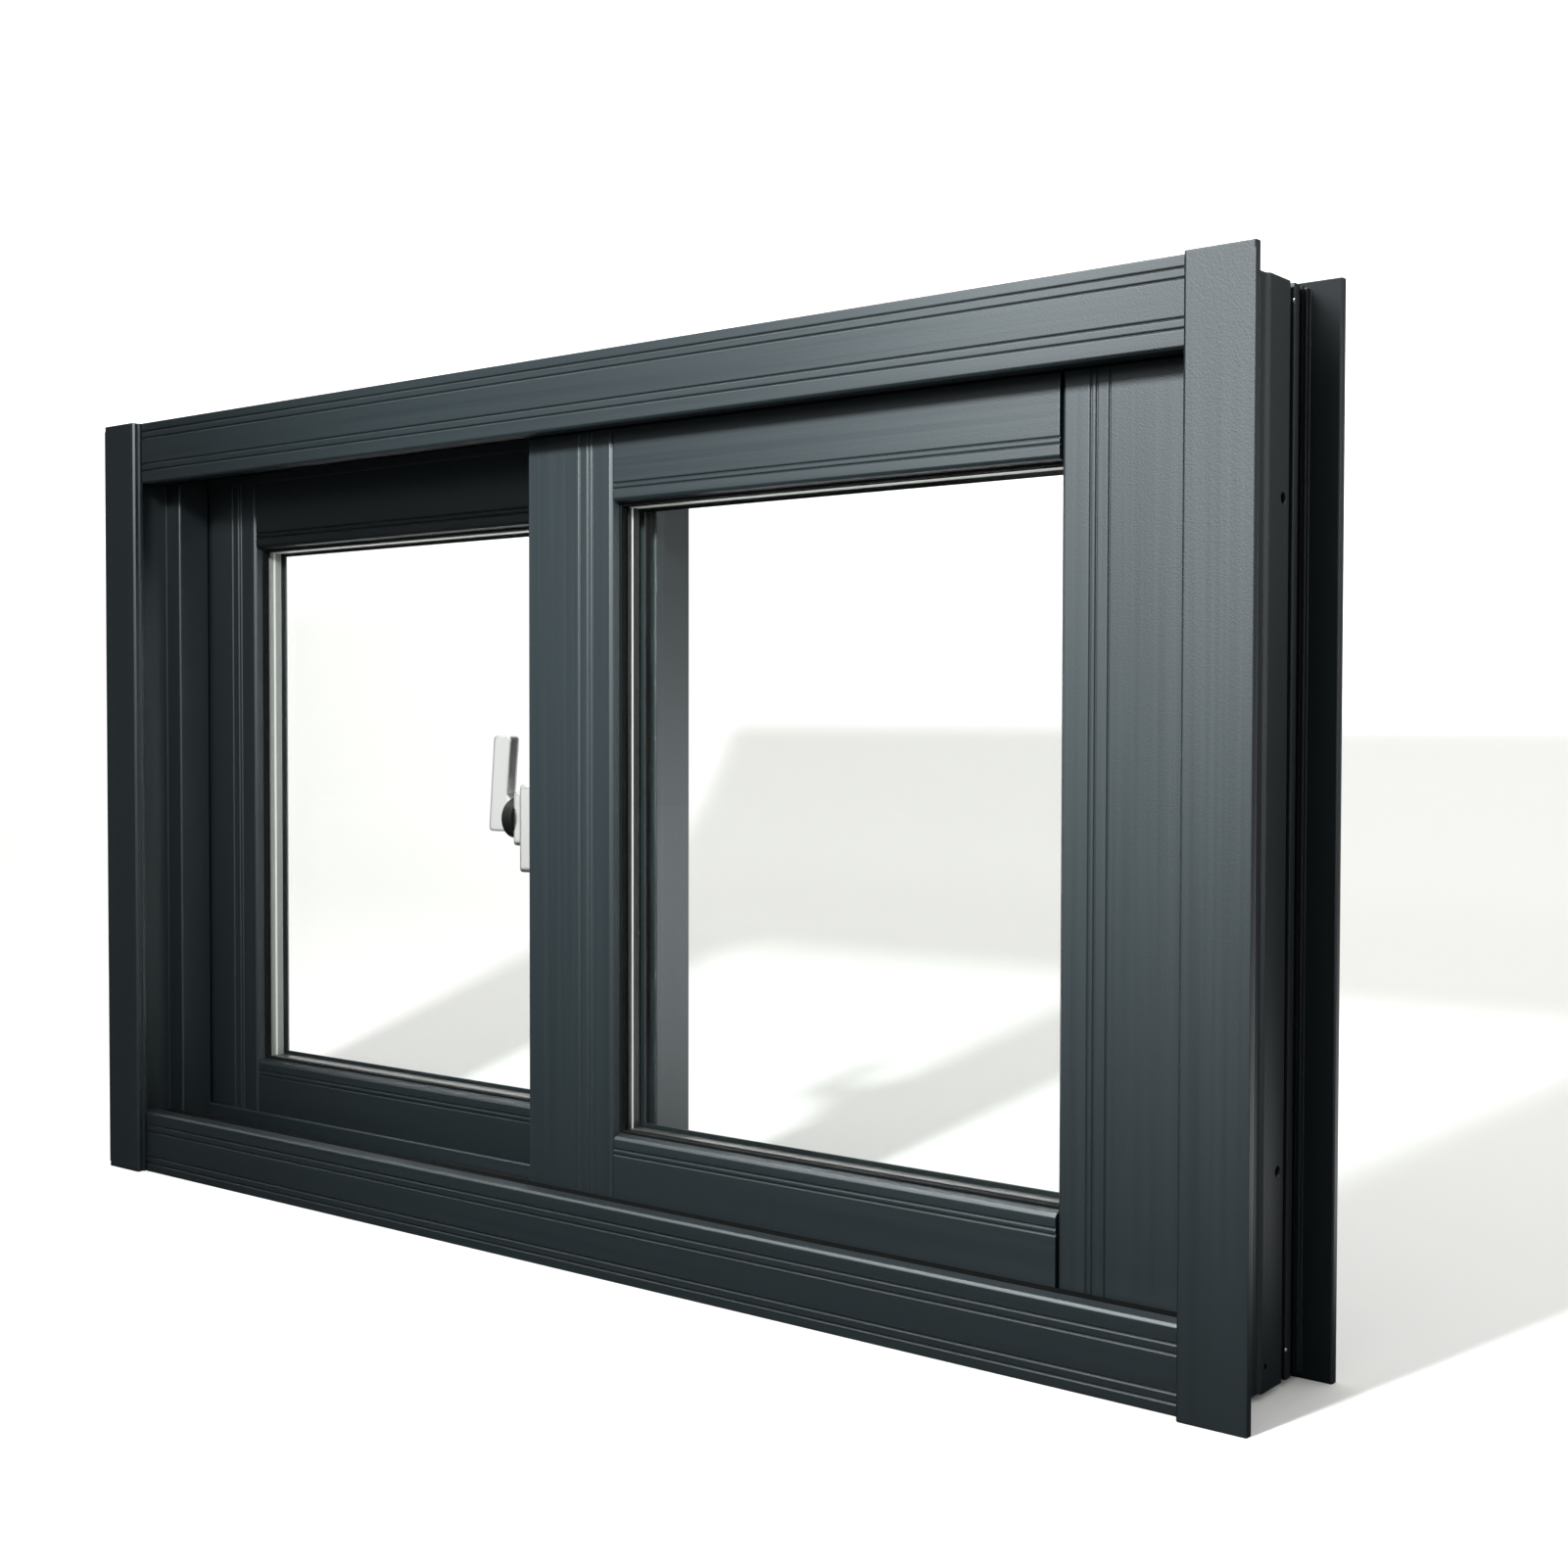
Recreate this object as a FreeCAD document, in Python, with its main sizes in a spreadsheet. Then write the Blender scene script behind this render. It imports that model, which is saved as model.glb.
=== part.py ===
import FreeCAD, Part
import os

import Sketcher

# Horizontal sliding window: two glazed sashes in a thermally broken frame.
# Millimetres. X runs along the window, Y from the outside to the inside and Z up.
# The origin is the middle of the bottom edge of the frame.

# Driving dimensions: alias, value
SIZES = [
    # frame
    ("width", 1000.0),
    ("height", 600.0),
    ("jamb_face", 40.0),
    ("rail_face", 48.0),
    ("rail_recess", 7.0),
    ("flange_thick", 5.0),
    ("overhang", 18.0),
    ("floor_at", 28.0),
    ("wall", 2.0),
    ("jamb_lip", 9.0),
    ("lip_groove_at", 1.8),
    ("lip_groove", 3.4),
    ("joint", 1.0),
    ("rail_lip", 20.0),
    ("break_depth", 10.0),
    ("inner_base", 4.0),
    ("plate_thick", 6.0),
    ("jamb_fin", 27.5),
    ("jamb_fin_reach", 46.0),
    ("rail_fin", 2.5),
    ("fin_gap", 1.5),
    ("step_rise", 2.0),
    ("step_run", 2.0),
    ("step_from_slot", 24.5),
    ("slot_wide", 5.0),
    ("slot_deep", 4.0),
    ("slot_rib", 6.5),
    ("end_notch", 4.0),
    ("rail_high", 8.0),
    ("rail_thick", 2.5),
    ("fixing_radius", 3.0),
    ("fixing_from_end", 120.0),
    ("fixing_from_slot", 7.0),
    ("break_rib", 2.0),
    ("ease", 0.8),
    ("face_ease", 1.5),
    ("groove_wide", 1.6),
    ("groove_deep", 1.2),
    ("frame_groove_near", 6.6),
    ("frame_groove_far", 32.3),
    ("frame_groove_pair", 5.4),
    # sashes
    ("front_sash_at", 28.0),
    ("sash_depth", 34.0),
    ("sash_gap", 5.0),
    ("room_gap", 5.0),
    ("sash_side_gap", 4.0),
    ("sash_top_gap", 6.0),
    ("sash_bottom_gap", 4.0),
    ("meeting_overlap", 84.0),
    ("meeting_stile", 79.0),
    ("lock_stile", 96.0),
    ("rear_lock_stile", 75.5),
    ("front_top_rail", 62.0),
    ("front_bottom_rail", 58.0),
    ("rear_top_rail", 66.0),
    ("rear_bottom_rail", 58.0),
    ("rebate", 16.0),
    ("lip_thick", 6.5),
    ("flare_wide", 1.8),
    ("flare_deep", 1.5),
    ("throat", 1.5),
    ("fin_clearance", 1.0),
    ("track_slot", 9.0),
    ("track_slot_high", 18.0),
    ("stile_groove_near", 19.2),
    ("stile_groove_pair", 3.6),
    ("stile_groove_far", 30.7),
    ("sash_rail_groove_near", 9.5),
    ("sash_rail_groove_far", 13.0),
    # glazing
    ("pane", 4.0),
    ("cavity", 10.0),
    ("gasket", 4.5),
    ("gasket_show", 1.5),
    ("edge_cover", 12.0),
    ("spacer_sight", 1.5),
    ("spacer_wide", 7.0),
    ("bead_reach", 4.0),
    ("bead_bevel", 4.0),
    # running gear and seals
    ("wheel_radius", 6.0),
    ("wheel_wide", 5.0),
    ("wheel_inset", 70.0),
    ("carriage_long", 46.0),
    ("running_gap", 0.3),
    ("hook_thick", 1.4),
    ("hook_base", 14.0),
    ("hook_return", 7.0),
    ("hook_apart", 9.0),
    ("hook_clearance", 0.8),
    ("brush_high", 7.0),
    ("block_long", 116.0),
    ("block_gap", 4.0),
    ("block_high", 11.0),
    # handle
    ("handle_height", 295.0),
    ("handle_in", 14.0),
    ("backplate_wide", 24.0),
    ("backplate_high", 60.0),
    ("backplate_below", 36.5),
    ("backplate_thick", 10.5),
    ("boss_wide", 22.0),
    ("boss_high", 37.0),
    ("boss_long", 7.0),
    ("hub_radius", 14.0),
    ("hub_long", 8.8),
    ("lever_wide", 23.0),
    ("lever_top_wide", 17.0),
    ("lever_thick", 8.0),
    ("lever_up", 57.0),
    ("lever_down", 9.5),
    ("lever_lean", 5.4),
    ("lever_neck", 18.5),
    ("lever_neck_high", 16.0),
    ("lever_seat_high", 10.5),
    ("handle_round", 3.0),
]

DOC = FreeCAD.newDocument("SlidingWindow")


class Size:
    """A length that carries its number together with its spreadsheet formula."""

    def __init__(self, number, formula):
        self.number = number
        self.formula = formula

    def joined(self, other, sign, number):
        other = as_size(other)
        return Size(number, f"({self.formula} {sign} {other.formula})")

    def __add__(self, other):
        return self.joined(other, "+", self.number + as_size(other).number)

    def __sub__(self, other):
        return self.joined(other, "-", self.number - as_size(other).number)

    def __mul__(self, other):
        return self.joined(other, "*", self.number * as_size(other).number)

    def __truediv__(self, other):
        return self.joined(other, "/", self.number / as_size(other).number)

    def __neg__(self):
        return as_size(0) - self


def as_size(value):
    """Turns a plain number into a Size, and leaves a Size as it is."""
    return value if isinstance(value, Size) else Size(float(value), repr(float(value)))


class Sheet:
    """The driving dimensions as attributes, each bound to its spreadsheet cell."""

    def __init__(self, rows):
        cells = DOC.addObject("Spreadsheet::Sheet", "Sizes")
        for row, (alias, number) in enumerate(rows, start=1):
            cells.set(f"A{row}", alias)
            cells.set(f"B{row}", str(number))
            cells.setAlias(f"B{row}", alias)
            setattr(self, alias, Size(number, f"Sizes.{alias}"))


S = Sheet(SIZES)
DOC.recompute()


# Drawing helpers


def eased(outline):
    """Swaps each corner that carries a third size for a flat that long on both sides."""
    points = []
    count = len(outline)
    for index, corner in enumerate(outline):
        across, along = as_size(corner[0]), as_size(corner[1])
        if len(corner) == 2:
            points.append((across, along))
            continue
        flat = corner[2]
        for neighbour in (outline[index - 1], outline[(index + 1) % count]):
            away_across = as_size(neighbour[0]).number - across.number
            away_along = as_size(neighbour[1]).number - along.number
            if abs(away_across) > abs(away_along):
                points.append((across + flat * (1 if away_across > 0 else -1), along))
            else:
                points.append((across, along + flat * (1 if away_along > 0 else -1)))
    return points


def pin(sketch, line, coordinate, size):
    """Ties the start of a sketched line to the origin in X or in Y."""
    if size.formula == as_size(0).formula:
        axis = -2 if coordinate == "X" else -1
        sketch.addConstraint(Sketcher.Constraint("PointOnObject", line, 1, axis))
        return
    rule = Sketcher.Constraint("Distance" + coordinate, -1, 1, line, 1, size.number)
    sketch.setExpression(f"Constraints[{sketch.addConstraint(rule)}]", size.formula)


def draw(body, name, plane, outlines):
    """Draws closed outlines on one of the body's own origin planes."""
    sketch = body.newObject("Sketcher::SketchObject", name)
    ground = next(item for item in body.Origin.OriginFeatures if item.Role == plane)
    sketch.AttachmentSupport = [(ground, "")]
    sketch.MapMode = "FlatFace"
    for outline in outlines:
        points = eased(outline)
        vectors = [FreeCAD.Vector(x.number, y.number, 0) for x, y in points]
        first = sketch.GeometryCount
        count = len(points)
        for index, vector in enumerate(vectors):
            sketch.addGeometry(Part.LineSegment(vector, vectors[(index + 1) % count]))
        for index, (x, y) in enumerate(points):
            following = first + (index + 1) % count
            sketch.addConstraint(Sketcher.Constraint("Coincident", first + index, 2, following, 1))
            pin(sketch, first + index, "X", x)
            pin(sketch, first + index, "Y", y)
    return sketch


def pad(body, name, outlines, length, start=None):
    """Extrudes outlines drawn in the section plane along the member."""
    section = draw(body, name + "_section", "XY_Plane", outlines)
    if start is not None:
        section.setExpression("AttachmentOffset.Base.z", as_size(start).formula)
    solid = body.newObject("PartDesign::Pad", name)
    solid.Profile = section
    solid.setExpression("Length", as_size(length).formula)
    return solid


def pocket(body, name, outlines, length, start):
    """Cuts outlines drawn in the section plane over a stretch of the member."""
    section = draw(body, name + "_section", "XY_Plane", outlines)
    section.setExpression("AttachmentOffset.Base.z", as_size(start).formula)
    cut = body.newObject("PartDesign::Pocket", name)
    cut.Profile = section
    cut.Reversed = True
    cut.setExpression("Length", as_size(length).formula)
    return cut


def member(name):
    """Starts the body of one extruded piece."""
    return DOC.addObject("PartDesign::Body", name)


def round_corners(body, name, solid, radius, axis):
    """Rounds the edges of a padded piece that run along one axis."""
    DOC.recompute()
    edges = [
        f"Edge{number}"
        for number, edge in enumerate(solid.Shape.Edges, start=1)
        if abs(edge.tangentAt(edge.FirstParameter).dot(FreeCAD.Vector(*axis))) > 0.9
    ]
    rounded = body.newObject("PartDesign::Fillet", name)
    rounded.Base = (solid, edges)
    rounded.setExpression("Radius", radius.formula)
    return rounded


def box_outline(x_low, y_low, x_high, y_high):
    """A plain rectangle."""
    return [(x_low, y_low), (x_high, y_low), (x_high, y_high), (x_low, y_high)]


def place(thing, x, y, z, turn=0):
    """Puts a piece at its place, turned about the Y axis."""
    thing.Placement = FreeCAD.Placement(
        FreeCAD.Vector(0, 0, 0), FreeCAD.Rotation(FreeCAD.Vector(0, 1, 0), turn)
    )
    for axis, value in (("x", x), ("y", y), ("z", z)):
        thing.setExpression(f"Placement.Base.{axis}", as_size(value).formula)
    return thing


def block(name, x, y, z, along, through, up):
    """A rectangular solid between x and x + along, and so on."""
    solid = DOC.addObject("Part::Box", name)
    for side, value in (("Length", along), ("Width", through), ("Height", up)):
        solid.setExpression(side, as_size(value).formula)
    return place(solid, x, y, z)


def cylinder(name, radius, long, x, y, z, axis):
    """A round solid that runs from its place along X or Y."""
    solid = DOC.addObject("Part::Cylinder", name)
    solid.setExpression("Radius", as_size(radius).formula)
    solid.setExpression("Height", as_size(long).formula)
    turn = FreeCAD.Rotation(FreeCAD.Vector(0, 0, 1), FreeCAD.Vector(*axis))
    solid.Placement = FreeCAD.Placement(FreeCAD.Vector(0, 0, 0), turn)
    for letter, value in (("x", x), ("y", y), ("z", z)):
        solid.setExpression(f"Placement.Base.{letter}", as_size(value).formula)
    return solid


def cut(name, base, tool):
    """The base with the tool taken away from it."""
    result = DOC.addObject("Part::Cut", name)
    result.Base = base
    result.Tool = tool
    return result


def fuse(name, pieces):
    """Pieces joined into one solid."""
    result = DOC.addObject("Part::MultiFuse", name)
    result.Shapes = pieces
    return result


def group(name, pieces):
    """Several loose solids that share one node."""
    result = DOC.addObject("Part::Compound", name)
    result.Links = pieces
    return result


NODES = {}


def keep(node, thing):
    """Names the node that a finished piece is written to."""
    thing.Label = node
    NODES[node] = thing
    return thing


# Places that follow from the driving dimensions

LEFT = -(S.width / 2)
RIGHT = S.width / 2
REAR_SASH_AT = S.front_sash_at + S.sash_depth + S.sash_gap
PLATE_AT = REAR_SASH_AT + S.sash_depth + S.room_gap
DEPTH = PLATE_AT + S.plate_thick
FRONT = -(DEPTH / 2)
INNER_AT = PLATE_AT - S.inner_base
SHELL_BACK = INNER_AT - S.break_depth
SLOT_BACK = SHELL_BACK - S.slot_rib
SLOT_FRONT = SLOT_BACK - S.slot_wide
STEP_BACK = SLOT_FRONT - S.step_from_slot
STEP_FRONT = STEP_BACK - S.step_run
FIN_BACK = REAR_SASH_AT - S.fin_gap
FIN_FRONT = FIN_BACK - S.jamb_fin
TRACKS = {
    "front": S.front_sash_at + S.sash_depth / 2,
    "rear": REAR_SASH_AT + S.sash_depth / 2,
}

SASH_WIDE = (S.width - (S.floor_at + S.sash_side_gap) * 2 + S.meeting_overlap) / 2
SASH_LOW = S.floor_at + S.sash_bottom_gap
SASH_TOP = S.height - S.floor_at - S.sash_top_gap
SASH_HIGH = SASH_TOP - SASH_LOW
TRACK_TOP = S.floor_at + S.rail_high
UNIT_THICK = S.pane * 2 + S.cavity


# Frame sections, drawn with X inward from the outer edge and Y from front to back


def vee(at, front):
    """The three points of a fine groove in a front face."""
    half = S.groove_wide / 2
    return [(at - half, front), (at, front + S.groove_deep), (at + half, front)]


def outer_side(front):
    """The wall side of a shell: wall groove, screw step and flange, from back to front."""
    side = S.overhang
    stepped = side + S.step_rise
    return [
        (side, SHELL_BACK),
        (side, SLOT_BACK),
        (side + S.slot_deep, SLOT_BACK),
        (side + S.slot_deep, SLOT_FRONT),
        (side, SLOT_FRONT),
        (side, STEP_BACK),
        (stepped, STEP_FRONT),
        (stepped, front + S.flange_thick),
        (0, front + S.flange_thick),
    ]


def base_chamber(front):
    """The hollow between the wall side and the channel floor."""
    side = S.overhang + S.wall
    inside = S.floor_at - S.wall
    stepped = side + S.step_rise
    return [
        (stepped, front + S.flange_thick + S.wall),
        (inside, front + S.flange_thick + S.wall),
        (inside, SLOT_FRONT - S.wall),
        (side, SLOT_FRONT - S.wall),
        (side, STEP_BACK),
        (stepped, STEP_FRONT),
    ]


def jamb_outer(node):
    """Hollow shell with the fin between the tracks, behind a full-height face and lip."""
    floor = S.floor_at
    outline = [
        (0, 0),
        (floor, 0),
        (floor, FIN_FRONT),
        (S.jamb_fin_reach, FIN_FRONT, S.ease),
        (S.jamb_fin_reach, FIN_BACK, S.ease),
        (floor, FIN_BACK),
        (floor, SHELL_BACK),
    ] + outer_side(as_size(0))
    fin_chamber = box_outline(
        floor, FIN_FRONT + S.wall, S.jamb_fin_reach - S.wall, FIN_BACK - S.wall
    )
    hollows = [base_chamber(as_size(0)), fin_chamber]
    body = member(node + "_body")
    pad(body, node + "_shell", [outline] + hollows, S.height - S.end_notch * 2, S.end_notch)
    groove_floor = S.jamb_face - S.groove_deep
    groove_end = S.lip_groove_at + S.lip_groove
    face = [
        (0, 0, S.ease),
        (S.jamb_face, 0, S.face_ease),
        (S.jamb_face, S.lip_groove_at),
        (groove_floor, S.lip_groove_at),
        (groove_floor, groove_end),
        (S.jamb_face, groove_end),
        (S.jamb_face, S.jamb_lip, S.ease),
        (floor, S.jamb_lip),
        (floor, S.flange_thick),
        (0, S.flange_thick),
    ]
    pad(body, node + "_face", [face], S.height)
    return body


def track_points(middle):
    """The four corners of a raised track, from front to back."""
    half = S.rail_thick / 2
    near, far = middle - half, middle + half
    return [(S.floor_at, near), (TRACK_TOP, near), (TRACK_TOP, far), (S.floor_at, far)]


def rail_outer(node, tracks):
    """Head or sill shell, coped at both ends round the lips and fins of the jambs."""
    floor = S.floor_at
    front = S.rail_recess
    outline = [(0, front)]
    for first in (S.frame_groove_near, S.frame_groove_far):
        outline += vee(first, front) + vee(first + S.frame_groove_pair, front)
    outline += [
        (S.rail_face, front, S.face_ease),
        (S.rail_face, S.rail_lip, S.ease),
        (floor, S.rail_lip),
    ]
    if tracks:
        outline += track_points(TRACKS["front"])
    outline += [
        (floor, FIN_BACK - S.rail_fin),
        (S.rail_face, FIN_BACK - S.rail_fin, S.ease),
        (S.rail_face, FIN_BACK, S.ease),
        (floor, FIN_BACK),
    ]
    if tracks:
        outline += track_points(TRACKS["rear"])
    outline += [(floor, SHELL_BACK)] + outer_side(front)
    lip_chamber = box_outline(
        floor, front + S.wall, S.rail_face - S.wall, S.rail_lip - S.wall
    )
    length = S.width - floor * 2
    body = member(node + "_body")
    pad(body, node + "_shell", [outline, base_chamber(front), lip_chamber], length)
    beyond = S.rail_face + S.wall
    lip_cope = box_outline(as_size(0) - S.wall, 0, beyond, S.jamb_lip)
    fin_cope = box_outline(0, FIN_FRONT, beyond, FIN_BACK)
    flange_cope = S.jamb_face - floor + S.joint
    fin_length = S.jamb_fin_reach - floor
    pocket(body, node + "_lip_cope_a", [lip_cope], flange_cope, 0)
    pocket(body, node + "_fin_cope_a", [fin_cope], fin_length, 0)
    pocket(body, node + "_lip_cope_b", [lip_cope], flange_cope, length - flange_cope)
    pocket(body, node + "_fin_cope_b", [fin_cope], fin_length, length - fin_length)
    return body


def break_bar(node, length, start):
    """The plastic bar that keeps the inner and outer metal apart, with its outer rib."""
    middle = SHELL_BACK + S.break_depth / 2
    low = S.overhang + S.break_rib
    rib = S.break_rib / 2
    outline = [
        (low, SHELL_BACK),
        (S.floor_at, SHELL_BACK),
        (S.floor_at, INNER_AT),
        (low, INNER_AT),
        (low, middle + rib),
        (S.overhang, middle + rib),
        (S.overhang, middle - rib),
        (low, middle - rib),
    ]
    hollow = box_outline(
        low + S.wall, SHELL_BACK + S.wall, S.floor_at - S.wall, INNER_AT - S.wall
    )
    body = member(node + "_body")
    pad(body, node + "_bar", [outline, hollow], length, start)
    return body


def inner_shell(node, reach, length, base_start, base_length, plate_start, plate_length):
    """The room-side profile: a foot on the plastic bar and the flat rear flange."""
    body = member(node + "_body")
    plate = [
        (0, PLATE_AT, S.ease),
        (reach, PLATE_AT, S.ease),
        (reach, DEPTH, S.ease),
        (0, DEPTH, S.ease),
    ]
    foot = box_outline(S.overhang, INNER_AT, S.floor_at, PLATE_AT)
    pad(body, node + "_plate", [plate], plate_length, plate_start)
    pad(body, node + "_foot", [foot], base_length, base_start)
    return body


def fixing_drills(side, x):
    """The two wall fixing holes of a jamb, through its outer wall and channel floor."""
    inward = (1, 0, 0) if side == "left" else (-1, 0, 0)
    drills = []
    for end, z in (("low", S.fixing_from_end), ("top", S.height - S.fixing_from_end)):
        y = FRONT + SLOT_FRONT - S.fixing_from_slot
        name = f"{side}_fixing_{end}"
        drills.append(cylinder(name, S.fixing_radius, S.jamb_face, x, y, z, inward))
    return fuse(side + "_fixings", drills)


def make_frame():
    for side, x, z, turn in (("left", LEFT, 0, 0), ("right", RIGHT, S.height, 180)):
        name = side + "_jamb_"
        shell_long = S.height - S.end_notch * 2
        shell = place(jamb_outer(name + "outer"), x, FRONT, z, turn)
        keep(name + "outer", cut(name + "outer_drilled", shell, fixing_drills(side, x)))
        bar = break_bar(name + "break", shell_long, S.end_notch)
        keep(name + "break", place(bar, x, FRONT, z, turn))
        inner = inner_shell(
            name + "inner", S.jamb_face, S.height, S.end_notch, shell_long, 0, S.height
        )
        keep(name + "inner", place(inner, x, FRONT, z, turn))
    clear = S.width - S.floor_at * 2
    plate_start = S.jamb_face - S.floor_at
    plate_long = S.width - S.jamb_face * 2
    for name, x, z, turn in (
        ("head_", LEFT + S.floor_at, S.height, 90),
        ("sill_", RIGHT - S.floor_at, 0, -90),
    ):
        outer = rail_outer(name + "outer", tracks=(turn < 0))
        keep(name + "outer", place(outer, x, FRONT, z, turn))
        keep(name + "break", place(break_bar(name + "break", clear, 0), x, FRONT, z, turn))
        inner = inner_shell(
            name + "inner", S.rail_face, clear, 0, clear, plate_start, plate_long
        )
        keep(name + "inner", place(inner, x, FRONT, z, turn))


# Sashes


def sash_outline(wide, fin_rebate, grooves):
    """Section of a sash member, X inward from its outer edge and Y back from its face."""
    seat = wide - S.rebate
    throat = wide - S.throat
    outline = [(0, 0, S.ease)]
    for at in grooves:
        outline += vee(at, as_size(0))
    outline += [
        (throat - S.flare_wide, 0),
        (throat, S.flare_deep),
        (wide, S.lip_thick),
        (seat, S.lip_thick),
        (seat, S.sash_depth, S.ease),
    ]
    if fin_rebate is None:
        outline.append((0, S.sash_depth, S.ease))
        return outline
    reach, front = fin_rebate
    return outline + [(reach, S.sash_depth, S.ease), (reach, front), (0, front, S.ease)]


def sash_chamber(wide, fin_rebate):
    """The hollow of a sash member."""
    inside = wide - S.rebate - S.wall
    back = S.sash_depth - S.wall
    chamber = [(S.wall, S.wall + S.groove_deep), (inside, S.wall + S.groove_deep), (inside, back)]
    if fin_rebate is None:
        return chamber + [(S.wall, back)]
    reach, front = fin_rebate
    return chamber + [
        (reach + S.wall, back),
        (reach + S.wall, front - S.wall),
        (S.wall, front - S.wall),
    ]


def sash_stile(name, wide, fin_rebate):
    """An upright of a sash, which runs its full height."""
    near = wide - S.stile_groove_near
    grooves = (wide - S.stile_groove_far, near - S.stile_groove_pair, near)
    outline = sash_outline(wide, fin_rebate, grooves)
    body = member(name + "_body")
    pad(body, name + "_shell", [outline, sash_chamber(wide, fin_rebate)], SASH_HIGH)
    return body


def track_slot(name, x, y, along):
    """The slot under a sash that straddles its track."""
    half = S.track_slot / 2
    return block(name, x, y - half, SASH_LOW - S.wall, along, S.track_slot, S.track_slot_high + S.wall)


def sash_rail(name, wide, length):
    """A rail of a sash, which butts against the stiles."""
    grooves = (wide - S.sash_rail_groove_far, wide - S.sash_rail_groove_near)
    body = member(name + "_body")
    pad(body, name + "_shell", [sash_outline(wide, None, grooves), sash_chamber(wide, None)], length)
    return body


def ring(name, x_low, x_high, z_low, z_high, band, front, thick):
    """A flat rectangular loop, such as a gasket or a spacer, inside the given box."""
    outside = block(name + "_outside", x_low, front, z_low, x_high - x_low, thick, z_high - z_low)
    inside = block(
        name + "_inside",
        x_low + band,
        front - S.wall,
        z_low + band,
        x_high - x_low - band * 2,
        thick + S.wall * 2,
        z_high - z_low - band * 2,
    )
    return cut(name + "_loop", outside, inside)


def bead_pair(name, length, near, far):
    """Two glazing beads that face each other across the opening, in one node."""
    wide = S.rebate + S.bead_reach
    thick = S.sash_depth - S.lip_thick - S.gasket - UNIT_THICK
    section = [
        (0, 0),
        (wide, 0),
        (wide, thick - S.bead_bevel),
        (wide - S.bead_bevel, thick),
        (0, thick),
    ]
    pieces = []
    for end, (x, y, z, turn) in (("a", near), ("b", far)):
        body = member(f"{name}_{end}")
        pad(body, f"{name}_{end}_bar", [section], length)
        pieces.append(place(body, x, y, z, turn))
    return keep(name, group(name + "_pair", pieces))


def make_sash(sash, x_left, depth_at, left_stile, right_stile, top_rail, bottom_rail):
    """One sash with its glazing, running gear and interlock."""
    front = FRONT + depth_at
    x_right = x_left + SASH_WIDE
    x_low = x_left + left_stile
    x_high = x_right - right_stile
    z_low = SASH_LOW + bottom_rail
    z_high = SASH_TOP - top_rail
    opening_wide = x_high - x_low
    opening_high = z_high - z_low
    track = FRONT + TRACKS[sash]
    slot = track_slot(sash + "_slot", x_left - S.wall, track, SASH_WIDE + S.wall * 2)

    # members
    rebated = None
    if sash == "front":
        fin_room = S.fin_clearance
        reach = S.jamb_fin_reach + fin_room - S.floor_at - S.sash_side_gap
        rebated = (reach, FIN_FRONT - fin_room - depth_at)
    left_name, right_name = sash + "_left_stile", sash + "_right_stile"
    left_rebate = None if sash == "front" else rebated
    left = sash_stile(left_name, left_stile, left_rebate)
    right = sash_stile(right_name, right_stile, rebated)
    place(left, x_left, front, SASH_LOW)
    place(right, x_right, front, SASH_TOP, 180)
    keep(left_name, cut(left_name + "_cut", left, slot))
    keep(right_name, cut(right_name + "_cut", right, slot))
    top = sash_rail(sash + "_top_rail", top_rail, opening_wide)
    bottom = sash_rail(sash + "_bottom_rail", bottom_rail, opening_wide)
    place(top, x_low, front, SASH_TOP, 90)
    place(bottom, x_high, front, SASH_LOW, -90)
    keep(sash + "_top_rail", cut(sash + "_top_rail_cut", top, slot))
    keep(sash + "_bottom_rail", cut(sash + "_bottom_rail_cut", bottom, slot))

    # glazing, from the outside in
    glass_at = front + S.lip_thick + S.gasket
    cover = S.edge_cover
    glass_left = x_low - cover
    glass_wide = opening_wide + cover * 2
    glass_low = z_low - cover
    glass_high = opening_high + cover * 2
    for node, offset in (("_outer_pane", as_size(0)), ("_inner_pane", S.pane + S.cavity)):
        pane = block(
            sash + node, glass_left, glass_at + offset, glass_low, glass_wide, S.pane, glass_high
        )
        keep(sash + node, pane)
    sight = S.spacer_sight
    spacer = ring(
        sash + "_spacer",
        x_low + sight - S.spacer_wide,
        x_high - sight + S.spacer_wide,
        z_low + sight - S.spacer_wide,
        z_high - sight + S.spacer_wide,
        S.spacer_wide,
        glass_at + S.pane,
        S.cavity,
    )
    keep(sash + "_spacer", spacer)
    show = S.gasket_show
    gasket = ring(
        sash + "_gasket",
        glass_left,
        glass_left + glass_wide,
        glass_low,
        glass_low + glass_high,
        cover + show,
        glass_at - S.gasket,
        S.gasket,
    )
    keep(sash + "_gasket", gasket)
    bead_at = glass_at + UNIT_THICK
    seat = S.rebate
    upright = opening_high + seat * 2
    bead_pair(
        sash + "_side_beads",
        upright,
        (x_low - seat, bead_at, z_low - seat, 0),
        (x_high + seat, bead_at, z_high + seat, 180),
    )
    between = opening_wide - S.bead_reach * 2
    bead_pair(
        sash + "_end_beads",
        between,
        (x_low + S.bead_reach, bead_at, z_high + seat, 90),
        (x_high - S.bead_reach, bead_at, z_low - seat, -90),
    )
    make_carriages(sash, x_left, x_right, track)


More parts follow.
